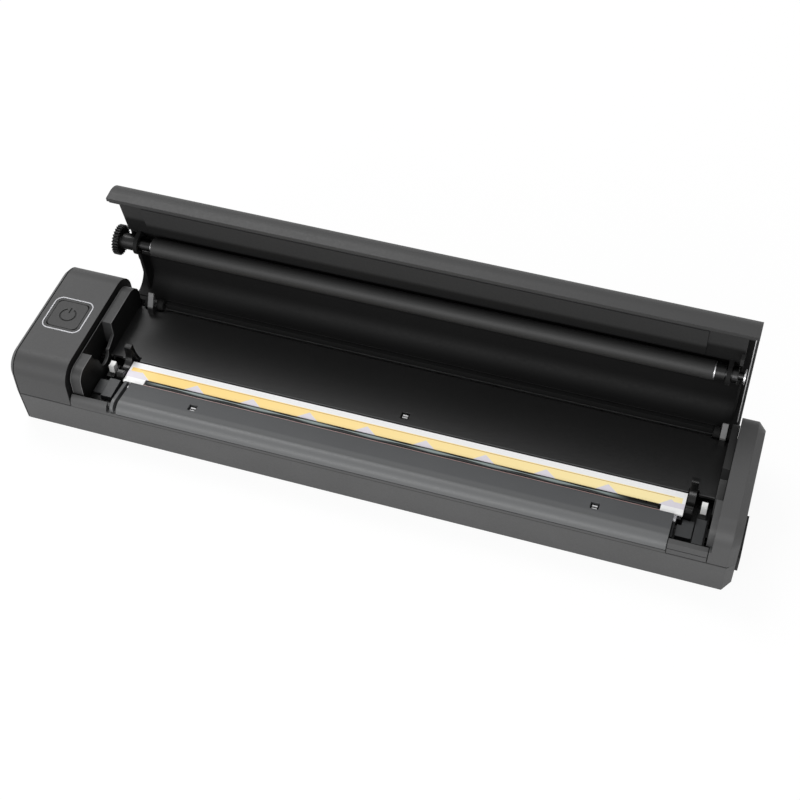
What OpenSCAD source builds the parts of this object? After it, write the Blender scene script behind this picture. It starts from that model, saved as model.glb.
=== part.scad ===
// A4 portable thermal printer with its lid open.
// X runs left to right, Y front to rear, Z up from the desk. Millimetres.

/* [Case] */
// Length of the case, end to end
case_length = 280; // [250:1:320]
// Front face of the case ahead of the middle of the pad
front_depth = 27.1; // [25:0.1:31]
// Rear face of the case behind the middle of the pad
rear_depth = 32; // [31.6:0.1:34]
// How far front and rear are drawn in at the bottom
foot_inset = 1.5; // [0.5:0.1:2.5]
// Height of the top above the desk
case_top = 34.9; // [31:0.1:42]
// Underside of the case above the desk
foot_gap = 0.6; // [0.2:0.1:2]
// Height of the seam between lower shell and covers
seam_height = 16.4; // [12:0.1:17]
// Radius of the front top edge
front_radius = 7.9; // [5:0.1:10]
// Radius of the rear top edge
rear_radius = 10; // [6:0.1:11]
// Wall thickness of the case
case_wall = 1.8; // [1.2:0.1:2.4]
// Bevel round the left end
bevel_left = 1.45; // [0.5:0.05:2]
// Bevel round the right end
bevel_right = 2.8; // [1:0.1:3]
// Thickness of the left end plate
end_plate = 2.0; // [1.2:0.1:3]
// Depth of the visible seams
seam_depth = 0.7; // [0.3:0.1:1]
// Width of the visible seams
seam_width = 0.35; // [0.2:0.05:0.6]

/* [Layout along the length] */
// Length of the pod with the power button
pod_length = 23.8; // [22:0.1:26]
// Length of the right cap
cap_length = 9.1; // [8.5:0.1:12]
// From the pod to the front deck
deck_start = 19.2; // [18.5:0.1:21]
// From the front deck to the right cap
deck_end = 15.6; // [14.5:0.1:17]

/* [Lid] */
// Gap between the lid and the pod
lid_gap_left = 0.6; // [0.4:0.1:1]
// Gap between the lid and the right cap
lid_gap_right = 0.4; // [0.3:0.1:1]
// Angle of the lid in the rest pose
lid_open = 84; // [0:1:84]
// Thickness of the lid's outer shell
lid_wall = 1.6; // [1.2:0.1:2]
// Thickness of the lid's liner
liner_wall = 1.1; // [0.8:0.1:1.4]
// Height of the front lip when closed
lip_height = 23.5; // [23.2:0.1:25]
// Height of the lid's rear edge when closed
lid_rear_height = 21.1; // [21:0.1:22]
// Hinge axis in front of the rear face
hinge_inset = 2.5; // [2.1:0.1:2.6]
// Hinge axis above the desk
hinge_z = 20.6; // [20:0.1:21]
// Diameter of the hinge pins
hinge_pin_diameter = 1.6; // [1.2:0.1:2]
// Outer radius of the hinge knuckles
knuckle_radius = 2.1; // [1.8:0.1:2.1]

/* [Roller] */
// Roller axis behind the middle, lid closed
roller_y = -4.7; // [-5.5:0.1:-4]
// Roller axis above the desk, lid closed
roller_z = 22.8; // [22.5:0.1:23.2]
// Diameter of the rubber
rubber_diameter = 7.2; // [6.5:0.1:7.4]
// From the pod to the rubber
rubber_start = 16.2; // [15.5:0.1:18]
// From the rubber to the right cap
rubber_end = 13.4; // [13:0.1:15]
// Diameter of the steel shaft
shaft_diameter = 5; // [4:0.1:5.2]
// Running clearance on each side of shafts and pins
running_fit = 0.05; // [0.02:0.01:0.1]

/* [Gears] */
// Gear module
gear_module = 0.4; // [0.3:0.05:0.5]
// Teeth on the roller gear
roller_teeth = 28; // [24:4:32]
// Teeth on the idler
idler_teeth = 20; // [18:1:24]
// Teeth on the small step of the reduction gear
small_teeth = 16; // [12:4:20]
// Teeth on the large step of the reduction gear
large_teeth = 42; // [36:1:44]
// Teeth on the motor pinion
pinion_teeth = 12; // [10:1:16]
// Direction from roller to idler, degrees
idler_angle = -50; // [-60:1:-40]
// Direction from idler to reduction gear, degrees
reduction_angle = -25; // [-40:1:-10]
// Direction from reduction gear to motor pinion, degrees
pinion_angle = 186; // [180:1:192]
// Added to each centre distance
gear_backlash = 0.05; // [0.02:0.01:0.15]
// Diameter of the gear pins
gear_pin_diameter = 1.5; // [1:0.1:2]

/* [Print head] */
// From the pod to the ceramic
head_start = 15.1; // [15.1:0.1:17]
// From the ceramic to the right cap
head_end = 12.7; // [12.7:0.1:15]
// Front edge of the ceramic
head_front = -11.2; // [-12:0.1:-10]
// Rear edge of the ceramic
head_rear = -0.9; // [-2:0.1:-0.5]
// Top of the ceramic
head_top = 19.1; // [18.5:0.1:19.15]
// Thickness of the ceramic
ceramic_thickness = 0.8; // [0.6:0.1:1.2]
// Thickness of the aluminium carrier
carrier_thickness = 2.2; // [1.5:0.1:2.6]

/* [Bed and deck] */
// Height of the bed
bed_height = 19; // [18.5:0.1:19.5]
// Distance of the bed's rear edge from the rear face
bed_setback = 3; // [2.9:0.1:3.6]
// Thickness of bed and deck
sheet_wall = 1.4; // [1:0.1:2]
// Height of the deck's crest
deck_crest = 21.7; // [21:0.1:22.5]
// Radius of the deck's front edge
deck_radius = 4; // [3:0.1:5]
// Height of the deck's rear edge
deck_low = 20.2; // [19.5:0.1:21]
// Rear edge of the deck
deck_rear = -12.1; // [-13:0.1:-11.6]

/* [Button and release] */
// Width of the button ring
ring_width = 14.8; // [12:0.1:16]
// Depth of the button ring
ring_depth = 15.4; // [12:0.1:18]
// Corner radius of the button ring
ring_radius = 3.2; // [2:0.1:5]
// Middle of the button from the left end
button_inset = 12.2; // [11.5:0.1:13]
// Middle of the button, front to rear
button_y = 1.6; // [-2:0.1:4]
// Travel of the power button
button_travel = 0.5; // [0.3:0.1:0.8]
// Length of the release button
release_length = 19; // [12:0.1:22]
// Travel of the release button
release_travel = 1.5; // [1:0.1:1.6]

/* [Hidden] */
$fn = 64;
eps = 0.01;
half_length = case_length / 2;
pod_edge = -half_length + pod_length;
cap_edge = half_length - cap_length;
lid_left = pod_edge + lid_gap_left;
lid_right = cap_edge - lid_gap_right;
deck_left = pod_edge + deck_start;
deck_right = cap_edge - deck_end;
rubber_left = pod_edge + rubber_start;
rubber_right = cap_edge - rubber_end;
head_left = pod_edge + head_start;
head_right = cap_edge - head_end;
button_x = -half_length + button_inset;
front_face = -front_depth;
hinge_y = rear_depth - hinge_inset;
bed_rear = rear_depth - bed_setback;
draft = atan(foot_inset / (seam_height - foot_gap));
front_arc_y = front_face + front_radius;
front_arc_z = case_top - front_radius;
rear_arc_y = rear_depth - rear_radius;
rear_arc_z = case_top - rear_radius;
floor_top = foot_gap + case_wall;
// Gap under the closed lid
lid_gap = 0.3;
cheek_inset = lid_wall + liner_wall + lid_gap;
// Reach of the lid's rear edge as it swings, and the wall that stays below it
lid_swing = norm([rear_depth - hinge_y, lid_rear_height - hinge_z]);
rear_wall_top = hinge_z - lid_swing - lid_gap;
front_seam = 17.8;
plate_x = -half_length + end_plate;

// Left side frame and its gear pocket
cheek_left = pod_edge + 0.4;
cheek_right = cheek_left + 4.5;
pocket_left = cheek_left + 0.4;
pocket_right = cheek_right - 1.3;
pocket_front = -12.7;
pocket_rear = 4.7;
gear_left = pocket_left + 0.3;
gear_right = pocket_right - 0.3;
hub_right = gear_right + 5.6;

// Gear centres, lid closed
idler_distance = gear_module * (roller_teeth + idler_teeth) / 2 + gear_backlash;
idler_y = roller_y + idler_distance * cos(idler_angle);
idler_z = roller_z + idler_distance * sin(idler_angle);
reduction_distance = gear_module * (idler_teeth + small_teeth) / 2 + gear_backlash;
reduction_y = idler_y + reduction_distance * cos(reduction_angle);
reduction_z = idler_z + reduction_distance * sin(reduction_angle);
pinion_distance = gear_module * (large_teeth + pinion_teeth) / 2 + gear_backlash;
pinion_y = reduction_y + pinion_distance * cos(pinion_angle);
pinion_z = reduction_z + pinion_distance * sin(pinion_angle);
// Turn of each gear that brings its teeth into mesh
roller_phase = 0;
idler_phase = idler_angle + 180 - 180 / idler_teeth
  + roller_teeth / idler_teeth * (idler_angle - roller_phase);
small_phase = reduction_angle + 180 - 180 / small_teeth
  + idler_teeth / small_teeth * (reduction_angle - idler_phase);
pinion_phase = pinion_angle + 180 - 180 / pinion_teeth
  + large_teeth / pinion_teeth * (pinion_angle - small_phase);
step_left = pod_edge - 5.2;
step_right = step_left + 2;

// Print head
ceramic_bottom = head_top - ceramic_thickness;
carrier_bottom = ceramic_bottom - carrier_thickness;
bead_front = -11;
bead_rear = -8.4;
bead_left = head_left + 8.6;
bead_right = head_right - 8.4;
head_pivot_y = -12.6;
head_pivot_z = 16.4;
head_pivot_diameter = 1.1;
chassis_top = 14.2;
chassis_bottom = 13;

// Brackets, saddles and lugs along the roller
bracket_left_x = pod_edge + 12;
bracket_right_x = cap_edge - 12.3;
bracket_width = 2.8;
bracket_notch = 3.75;
lug_left_x = pod_edge + 9.2;
lug_right_x = cap_edge - 8.9;
lug_width = 1.6;
saddle_left_x = pod_edge + 6.6;
saddle_right_x = cap_edge - 7;
saddle_width = 2.2;
saddle_depth = 2.8;
collar_diameter = 6.6;
saddle_bottom = 15.8;
pivot_left_x = deck_left - 0.4;
pivot_right_x = deck_right - 2.6;
spring_y = -5;
spring_x = [deck_left + 17, deck_left + 70, deck_right - 88.3, deck_right - 35.3];

// Hinge brackets
hinge_left_x = pod_edge + 10.1;
hinge_right_x = cap_edge - 6.4;
hinge_width = 2.2;
side_gap = 0.3;
knuckle_width = 2.4;
knuckle_reach = side_gap + knuckle_width + side_gap;
rim_top = lid_rear_height + 1.2;
rib_height = 26.8;

block_right = cap_edge - 1.1;
block_top = deck_crest + 1.1;

// Boards
board_left = deck_left - 7;
board_right = deck_right + 2.7;

// Sensors
sensor_left_x = deck_left + 28.1;
sensor_right_x = deck_right - 27.8;
bed_sensor_x = (deck_left + deck_right) / 2;

// Screws, battery and base pad
screw_x = half_length - 9;
screw_y = 19.2;
pad_length = case_length - 44;
pad_depth = 34;
cell_diameter = 14.2;
cell_length = 64.6;
cell_y = 14.6;
cell_z = floor_top + 0.3 + cell_diameter / 2;
release_y = -11.5;
release_low = 8;
release_high = 15.9;
inlet_y = 11.5;
inlet_z = 7.9;

// Helpers

module along_x(x0, x1) {
  translate([x0, 0, 0]) rotate([90, 0, 90]) linear_extrude(x1 - x0) children();
}

module block(x0, x1, y0, y1, z0, z1) {
  translate([x0, y0, z0]) cube([x1 - x0, y1 - y0, z1 - z0]);
}

module rod(x0, x1, y, z, d) {
  translate([x0, y, z]) rotate([0, 90, 0]) cylinder(d = d, h = x1 - x0);
}

// Flat plate with round corners, centred at [x, y]
module pill(x, y, w, d, r, z0, z1) {
  translate([x, y, z0]) linear_extrude(z1 - z0) {
    square([w - 2 * r, d], center = true);
    square([w, d - 2 * r], center = true);
    for (sx = [-1, 1], sy = [-1, 1]) {
      translate([sx * (w / 2 - r), sy * (d / 2 - r)]) circle(r = r);
    }
  }
}

// Everything of the lid, turned from closed to the rest pose
module open_lid() {
  translate([0, hinge_y, hinge_z]) rotate([-lid_open, 0, 0]) translate([0, -hinge_y, -hinge_z])
    children();
}

// Section of the case, drawn in by t
module case_section(t) {
  polygon([[front_face + foot_inset + t, foot_gap + t], [rear_depth - foot_inset - t, foot_gap + t],
    [rear_depth - t, seam_height], [rear_depth - t, rear_arc_z],
    [rear_arc_y, case_top - t], [front_arc_y, case_top - t],
    [front_face + t, front_arc_z], [front_face + t, seam_height]]);
  translate([front_arc_y, front_arc_z]) circle(r = front_radius - t);
  translate([rear_arc_y, rear_arc_z]) circle(r = rear_radius - t);
}

// Plan of the case with both ends bevelled, open to one side
module end_plan(side) {
  reach = side < 0 ? front_depth : rear_depth;
  linear_extrude(2 * case_top, center = true)
    polygon([[-half_length, side * (reach - bevel_left)],
      [-half_length + bevel_left, side * reach],
      [half_length - bevel_right, side * reach],
      [half_length, side * (reach - bevel_right)],
      [half_length, -side * 2 * reach], [-half_length, -side * 2 * reach]]);
}

// Front view of the case with both ends bevelled
module end_front() {
  rotate([90, 0, 0]) linear_extrude(4 * rear_depth, center = true)
    polygon([[-half_length + bevel_left, foot_gap], [half_length - bevel_right, foot_gap],
      [half_length, foot_gap + bevel_right], [half_length, case_top - bevel_right],
      [half_length - bevel_right, case_top], [-half_length + bevel_left, case_top],
      [-half_length, case_top - bevel_left], [-half_length, foot_gap + bevel_left]]);
}

module round_edge(y, z, r) {
  rod(-half_length + bevel_left, half_length - bevel_right, y, z, 2 * r);
  translate([-half_length, y, z]) rotate([0, 90, 0])
    cylinder(h = bevel_left, r1 = r - bevel_left, r2 = r);
  translate([half_length - bevel_right, y, z]) rotate([0, 90, 0])
    cylinder(h = bevel_right, r1 = r, r2 = r - bevel_right);
}

// Outer form of the case above the seam
module upper_form() {
  intersection() {
    along_x(-half_length, half_length) case_section(0);
    translate([0, 0, case_top]) end_plan(1);
    translate([0, 0, case_top]) end_plan(-1);
    end_front();
    union() {
      round_edge(front_arc_y, front_arc_z, front_radius);
      round_edge(rear_arc_y, rear_arc_z, rear_radius);
      block(-half_length, half_length, front_arc_y, rear_arc_y, 0, case_top);
      block(-half_length, half_length, front_face, rear_arc_y, 0, front_arc_z);
      block(-half_length, half_length, 0, rear_depth, 0, rear_arc_z);
    }
    block(-half_length, half_length, front_face, rear_depth, seam_height, case_top);
  }
}

// Outer form of the case below the seam
module lower_form() {
  intersection() {
    along_x(-half_length, half_length) case_section(0);
    translate([0, front_face, seam_height]) rotate([draft, 0, 0])
      translate([0, front_depth, 0]) end_plan(-1);
    translate([0, rear_depth, seam_height]) rotate([-draft, 0, 0])
      translate([0, -rear_depth, 0]) end_plan(1);
    end_front();
    block(-half_length, half_length, front_face, rear_depth, 0, seam_height);
  }
}

// Spur gear along X with a bore, teeth with straight flanks
module gear(teeth, x0, x1, bore, phase) {
  pitch_r = gear_module * teeth / 2;
  tip_r = pitch_r + 0.9 * gear_module;
  root_r = pitch_r - 1.2 * gear_module;
  pitch = 360 / teeth;
  // Radius and half width of the tooth, as a share of the pitch
  flank = [[root_r, -0.3], [pitch_r, -0.22], [tip_r, -0.11], [tip_r, 0.11], [pitch_r, 0.22],
    [root_r, 0.3]];
  translate([x0, 0, 0]) rotate([90, 0, 90]) linear_extrude(x1 - x0) difference() {
    polygon([for (i = [0:teeth - 1], f = flank)
      let (a = phase + (i + f[1]) * pitch) [f[0] * cos(a), f[0] * sin(a)]]);
    circle(d = bore);
  }
}

// Fixed body

// Outer section of the deck: front face, round edge and slope to the head
module deck_outer() {
  difference() {
    union() {
      polygon([[front_face, seam_height], [front_face, deck_crest - deck_radius],
        [front_face + deck_radius, deck_crest], [deck_rear, deck_low],
        [deck_rear, seam_height]]);
      translate([front_face + deck_radius, deck_crest - deck_radius])
        circle(r = deck_radius);
    }
    translate([front_face - 1, seam_height - 10]) square([2 * front_depth, 10]);
  }
}

module deck_inner() {
  translate([0, -sheet_wall]) polygon([[front_face + sheet_wall, seam_height - 5],
    [front_face + sheet_wall, deck_crest - deck_radius],
    [front_face + deck_radius, deck_crest], [deck_rear - 1.2, deck_low],
    [deck_rear - 1.2, seam_height - 5]]);
  translate([front_face + deck_radius, deck_crest - deck_radius])
    circle(r = deck_radius - sheet_wall);
}

module lower_shell() {
  color([0.36, 0.36, 0.36]) difference() {
    union() {
      difference() {
        union() {
          intersection() {
            lower_form();
            block(plate_x, half_length, front_face, rear_depth, 0, seam_height);
          }
          block(pod_edge + 0.2, deck_right + 0.1, front_face, front_face + case_wall,
            seam_height - eps, front_seam);
          block(pod_edge + 0.2, cap_edge - 0.2, rear_depth - case_wall, rear_depth,
            seam_height - eps, rear_wall_top);
        }
        intersection() {
          along_x(plate_x - 1, half_length - case_wall) case_section(case_wall);
          block(-half_length, half_length, front_face, rear_depth, 0, seam_height + eps);
        }
      }
      // Left part of the front wall, rounded like the deck
      intersection() {
        along_x(pod_edge + 0.2, deck_left - 4) deck_outer();
        block(-half_length, half_length, front_face - 1, front_face + 2.3, seam_height, case_top);
      }
      // Screw posts
      for (sx = [-1, 1], sy = [-1, 1]) {
        translate([sx * screw_x, sy * screw_y, floor_top - eps]) cylinder(d = 5.4, h = 11);
      }
      // Ribs under the print frame
      for (x = [cheek_right + 2.3, cap_edge - 8.9]) {
        block(x, x + 1.6, -23.5, -2, floor_top - eps, chassis_bottom);
      }
      // Posts under the main board
      for (x = [board_left + 4, 5, board_right - 6], y = [-20, 3]) {
        translate([x, y, floor_top - eps]) cylinder(d = 3.6, h = 2);
      }
      // Posts under the inlet board
      for (y = [inlet_y - 3, inlet_y + 3]) {
        translate([-half_length + 6, y, floor_top - eps]) cylinder(d = 2.4, h = 2.6);
      }
      // Cradle for the battery
      for (x = [-50, 0, 50]) block(x, x + 1.6, cell_y - 6.6, cell_y + 6.9, floor_top - eps, 5.5);
    }
    // Recess for the pad
    pill(0, 0, pad_length + 0.4, pad_depth + 0.4, 8.2, 0, foot_gap + 0.6);
    for (sx = [-1, 1], sy = [-1, 1]) {
      translate([sx * screw_x, sy * screw_y, 0]) {
        cylinder(d = 4.6, h = 2);
        cylinder(d = 2, h = 12.6);
      }
    }
    release_opening(seam_height + 1);
    rod(4 - cell_length, 6 + cell_length, cell_y, cell_z, cell_diameter + 0.3);
  }
}

// Opening for the release button, up to the given height
module release_opening(top) {
  block(half_length - 4, half_length + 1, release_y - release_length / 2 - 0.3,
    release_y + release_length / 2 + 0.3, release_low - 0.3, min(top, release_high + 0.3));
}

module base_pad() {
  color([0.1, 0.1, 0.1]) pill(0, 0, pad_length, pad_depth, 8, 0, foot_gap + 0.6);
}

module case_screws() {
  color([0.7, 0.7, 0.72]) for (sx = [-1, 1], sy = [-1, 1]) {
    translate([sx * screw_x, sy * screw_y, 0.9]) difference() {
      union() {
        cylinder(d = 4.2, h = 1.1);
        cylinder(d = 2, h = 10.5);
      }
      translate([0, 0, -eps]) linear_extrude(0.7) {
        square([2.4, 0.6], center = true);
        square([0.6, 2.4], center = true);
      }
    }
  }
}

// Covers sit on the lower shell with a narrow groove along the seam
module seam_groove() {
  difference() {
    block(-half_length - 1, half_length + 1, front_face - 1, rear_depth + 1,
      seam_height - eps, seam_height + seam_width);
    along_x(-half_length - 2, half_length + 2) case_section(seam_depth);
  }
}

module pod_cover() {
  color([0.36, 0.36, 0.36]) {
    difference() {
      intersection() {
        upper_form();
        block(plate_x, pod_edge, front_face, rear_depth, 0, case_top);
      }
      intersection() {
        along_x(plate_x - 1, pod_edge - case_wall) case_section(case_wall);
        block(-half_length, half_length, front_face, rear_depth, 0, case_top);
      }
      seam_groove();
      pill(button_x, button_y, ring_width, ring_depth, ring_radius, 20, 40);
    }
    for (x = [-half_length + 5, pod_edge - 5], y = [-11.5, 14.5]) {
      translate([x, y, 23.8]) cylinder(d = 3, h = case_top - case_wall - 23.8 + eps);
    }
  }
}

module left_end_plate() {
  color([0.36, 0.36, 0.36]) difference() {
    union() {
      intersection() {
        union() {
          upper_form();
          lower_form();
        }
        block(-half_length, plate_x, front_face, rear_depth, 0, case_top);
      }
      difference() {
        along_x(plate_x - eps, plate_x + 1.4) case_section(case_wall + 0.1);
        along_x(plate_x - 1, plate_x + 2) case_section(case_wall + 1.1);
        block(-half_length, -half_length + 20, -3, 3, 0, 8);
      }
    }
    // Inlet opening
    along_x(-half_length - 1, plate_x + eps) translate([inlet_y, inlet_z]) {
      square([5.8, 3.6], center = true);
      for (s = [-1, 1]) translate([s * 2.9, 0]) circle(d = 3.6);
    }
    // Groove that sets the plate off from the shells
    difference() {
      block(plate_x - seam_width, plate_x + eps, front_face - 1, rear_depth + 1, 0, case_top + 1);
      along_x(-half_length - 1, plate_x + 1) case_section(seam_depth);
    }
  }
}

module right_cap() {
  color([0.36, 0.36, 0.36]) difference() {
    union() {
      intersection() {
        upper_form();
        block(cap_edge, half_length, front_face, rear_depth, 0, case_top);
      }
      // Shoulder under the lid's front corner
      intersection() {
        along_x(cap_edge - 2.3, cap_edge + eps) case_section(cheek_inset);
        block(cap_edge - 10, half_length, front_face, -10.4, seam_height, case_top);
      }
      block(cap_edge - 0.8, cap_edge + eps, front_face, -24, seam_height, 22.8);
    }
    intersection() {
      along_x(cap_edge + case_wall, half_length - case_wall) case_section(case_wall);
      block(cap_edge, half_length, front_face, rear_depth, 0, case_top);
    }
    seam_groove();
    release_opening(seam_height + 0.3);
  }
}

module front_deck() {
  color([0.34, 0.35, 0.36]) difference() {
    union() {
      difference() {
        along_x(deck_left, deck_right) deck_outer();
        along_x(deck_left + 1, deck_right - 1) deck_inner();
      }
      // Flange along the left end
      intersection() {
        along_x(deck_left - 2.7, deck_left - 1.4) deck_outer();
        block(-half_length, half_length, front_face + 0.7, 0, 0, case_top);
      }
      block(deck_left - 2, deck_left + eps, front_face + 1.1, deck_rear, seam_height, 18);
    }
    block(-half_length, half_length, front_face - 1, front_face + seam_depth,
      seam_height - 1, front_seam + seam_width);
    block(-half_length, half_length, front_face - 1, front_face + case_wall + 0.1,
      seam_height - 1, front_seam);
    for (x = [sensor_left_x, sensor_right_x]) {
      block(x - 1.6, x + 1.6, -19.1, -15.9, seam_height - 1, case_top);
    }
    // Clear of the head's pivots
    block(deck_left - 5, deck_right + 1, -14, -12, 0, 18.2);
  }
}

module front_block() {
  color([0.36, 0.36, 0.36]) difference() {
    block(deck_right + 0.3, block_right, front_face, front_face + 2.1, seam_height, block_top);
    block(deck_right, cap_edge, front_face - 1, front_face + 0.5, block_top - 3.6,
      block_top - 3.2);
    block(deck_right, cap_edge, front_face + 1.2, front_face + 3, block_top - 1.9,
      block_top - 1.2);
    block(deck_right, cap_edge, front_face - 1, front_face + seam_depth,
      seam_height - 1, seam_height + seam_width);
  }
}

// Openings in the bed for the lid's knuckles
module hinge_slots() {
  for (x = [hinge_left_x, hinge_right_x]) {
    block(x - knuckle_reach, x + hinge_width + knuckle_reach, hinge_y - knuckle_radius - 0.4,
      rear_depth, 0, case_top);
  }
}

module bed_section() {
  translate([head_rear + 0.8, bed_height - sheet_wall])
    square([bed_rear - 1 - head_rear - 0.8, sheet_wall]);
  translate([bed_rear - sheet_wall, bed_height - sheet_wall]) intersection() {
    circle(r = sheet_wall);
    square(sheet_wall);
  }
  // Rear leg
  translate([bed_rear - 1.8, floor_top]) square([1.2, bed_height - sheet_wall / 2 - floor_top]);
}

module paper_bed() {
  color([0.16, 0.16, 0.17]) difference() {
    along_x(cheek_right, cap_edge - 3) bed_section();
    hinge_slots();
    block(-half_length, deck_left - 12, hinge_y - 4, rear_depth, 0, bed_height - sheet_wall);
    block(bed_sensor_x - 1.6, bed_sensor_x + 1.6, 2.4, 5.6, 16, 20);
    block(bracket_left_x - 0.3, bracket_left_x + bracket_width + 2.4, -2, 1.9, 10, 30);
    block(saddle_left_x - 1, saddle_left_x + 3.4, -2, 0.4, 10, 30);
    block(bracket_right_x - 0.4, bracket_right_x + bracket_width + 0.6, -2, 1.9, 10, 30);
  }
}

module side_frame_left() {
  color([0.3, 0.3, 0.3]) difference() {
    union() {
      intersection() {
        along_x(cheek_left, cheek_right) case_section(cheek_inset);
        block(-half_length, half_length, -25, rear_depth, floor_top, case_top);
      }
      block(cheek_left, cheek_right, -20, 20, floor_top, floor_top + 1.5);
    }
    // Gear pocket, open at the top between the two blocks
    block(pocket_left, pocket_right, pocket_front, pocket_rear, floor_top + 1, case_top);
    block(pocket_left, pocket_right, pocket_front, reduction_y + 4.4, floor_top + 1, 20.5);
    // Notch in the inner wall for the roller's hub
    along_x(pocket_right - eps, cheek_right + 1) {
      polygon([[pocket_rear, case_top], [pocket_rear, 25.3], [0.1, 23], [roller_y + 3.6, roller_z],
        [roller_y - 3.6, roller_z], [-9.2, 25.5], [pocket_front, 30], [pocket_front, case_top]]);
      translate([roller_y, roller_z]) circle(r = 3.6);
    }
    rod(cheek_left - 1, pocket_left + 1, reduction_y, reduction_z, 5.2);
    rod(cheek_left - 1, cheek_right + 1, reduction_y, reduction_z, gear_pin_diameter);
    rod(cheek_left - 1, cheek_right + 1, idler_y, idler_z, gear_pin_diameter);
  }
}

module side_frame_right() {
  color([0.3, 0.3, 0.3]) difference() {
    union() {
      intersection() {
        along_x(cap_edge - 2.9, cap_edge - 0.1) case_section(cheek_inset);
        along_x(cap_edge - 10, half_length) polygon([[rear_depth, floor_top], [rear_depth, 40],
          [4, 40], [4, 25.5], [-0.8, 18.3], [-5.5, 16.2], [-5.5, floor_top]]);
      }
      block(cap_edge - 2.9, cap_edge - 0.1, -5.5, 20, floor_top, floor_top + 1.5);
    }
    // Clear of the screw post
    translate([screw_x, screw_y, 0]) cylinder(d = 6.2, h = 14.2);
    // Clear of the lid's knuckle
    rod(cap_edge - 4, hinge_right_x + hinge_width + knuckle_reach, hinge_y, hinge_z,
      2 * knuckle_radius + 0.8);
  }
}

module print_frame() {
  frame_left = cheek_right + 0.2;
  frame_right = cap_edge - 3.1;
  color([0.05, 0.05, 0.05]) difference() {
    union() {
      block(frame_left, frame_right, -24.6, 5, chassis_bottom, chassis_top);
      block(frame_left, bracket_left_x + 2.5, -24.6, -10.8, chassis_top - eps, 16.6);
      block(deck_right + 0.3, frame_right, -24.6, -20.4, chassis_top - eps, 15.4);
      // Rail under the bed
      block(deck_left, deck_right - 0.3, 2, 3.4, chassis_top - eps, bed_height - sheet_wall);
      // Feet of the saddles
      for (x = [saddle_left_x, saddle_right_x]) {
        block(x - 0.6, x + saddle_width + 0.4, -8.2, -1.8, chassis_top - eps, saddle_bottom);
      }
      // Pivot ears of the head
      for (x = [pivot_left_x, pivot_right_x]) {
        block(x, x + 2, -13.4, -11.8, chassis_top - eps, 17.4);
      }
    }
    // Spring seats
    for (x = spring_x) {
      translate([x, spring_y, chassis_top - 0.4]) cylinder(d = 4.4, h = 1);
    }
    // Clear of the bed's sensor
    block(bed_sensor_x - 2.1, bed_sensor_x + 2.1, 1.6, 6, 15.5, 20);
    for (x = [pivot_left_x, pivot_right_x]) {
      rod(x - 1, x + 3, head_pivot_y, head_pivot_z, head_pivot_diameter + 2 * running_fit);
    }
    for (x = [bracket_left_x, bracket_right_x]) {
      block(x - eps, x + bracket_width + eps, -10.6, 1.8, 0, case_top);
    }
  }
}

module recess_plates() {
  left = bracket_left_x - 2.4;
  right = deck_right + 1.7;
  color([0.32, 0.32, 0.33]) {
    // Left plate
    block(left, left + 4.4, -20.2, -11, 16.6, 18.6);
    block(left - 4.2, left - 0.4, -18.5, -11.5, 16.6, 17.4);
    // Right plates
    block(right, right + 5.9, -18.7, -13.7, chassis_top, 16.6);
    block(right + 1.6, right + 5.9, -13.7 - eps, -10.9, chassis_top, 16.6);
    block(right + 6.3, right + 10.1, -19.9, -8.6, chassis_top, 16.1);
    block(right - 1.5, right - 0.8, -20.4, -13.7, chassis_top, 17.4);
  }
}

// Black bracket with a notch that the roller's shaft drops into
module bearing_bracket(x) {
  color([0.04, 0.04, 0.04]) difference() {
    along_x(x, x + bracket_width) difference() {
      polygon([[-10.4, 12.2], [1.5, 12.2], [1.5, 26.2], [1.1, 26.6], [-0.5, 26.6],
        [-0.9, 26.2], [-1, roller_z], [-8.4, roller_z - 1.2], [-8.8, 21.5], [-9.6, 21.5],
        [-10.4, 19.8]]);
      translate([roller_y, roller_z]) circle(r = bracket_notch);
      translate([roller_y - bracket_notch, roller_z]) square([2 * bracket_notch, 6]);
    }
    translate([x - 1, -9, 14.5]) cube([bracket_width + 2, 7, 2]);
  }
}

module bearing_bracket_left() {
  bearing_bracket(bracket_left_x);
  // Gusset beside the rear horn
  color([0.04, 0.04, 0.04]) translate([bracket_left_x + bracket_width - eps, 1.4, 0])
    rotate([90, 0, 0]) linear_extrude(1.4)
    polygon([[0, 19.1], [2.2, 19.1], [0.9, 21.5], [0, 25]]);
}

module bearing_bracket_right() {
  bearing_bracket(bracket_right_x);
}

// White low-friction saddle below the roller's end
module saddle(x) {
  color([0.9, 0.9, 0.9]) along_x(x, x + saddle_width) difference() {
    translate([roller_y - saddle_depth / 2, saddle_bottom]) square([saddle_depth, 4.6]);
    translate([roller_y, roller_z]) circle(r = 3.5);
  }
}

module saddle_left() {
  saddle(saddle_left_x);
}

module saddle_right() {
  saddle(saddle_right_x);
}

// Hinge bracket: a lug on the bed that holds the pin, and a leaning strut
module hinge_bracket(x) {
  color([0.38, 0.38, 0.38]) difference() {
    along_x(x, x + hinge_width) {
      polygon([[hinge_y - 5.1, bed_height], [hinge_y - 5.1, hinge_z + 2],
        [hinge_y - 2.1, hinge_z + 8], [hinge_y - 1.3, hinge_z + 7.3],
        [hinge_y - 3.5, hinge_z + 2], [hinge_y - 2.1, hinge_z + 0.8],
        [hinge_y, hinge_z + 0.8], [hinge_y, hinge_z - knuckle_radius],
        [hinge_y - 2.3, hinge_z - knuckle_radius], [hinge_y - 2.5, bed_height]]);
      translate([hinge_y, hinge_z]) circle(r = knuckle_radius);
    }
    rod(x - 1, x + hinge_width + 1, hinge_y, hinge_z, hinge_pin_diameter);
  }
}

module hinge_bracket_left() {
  hinge_bracket(hinge_left_x);
}

module hinge_bracket_right() {
  hinge_bracket(hinge_right_x);
}

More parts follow.
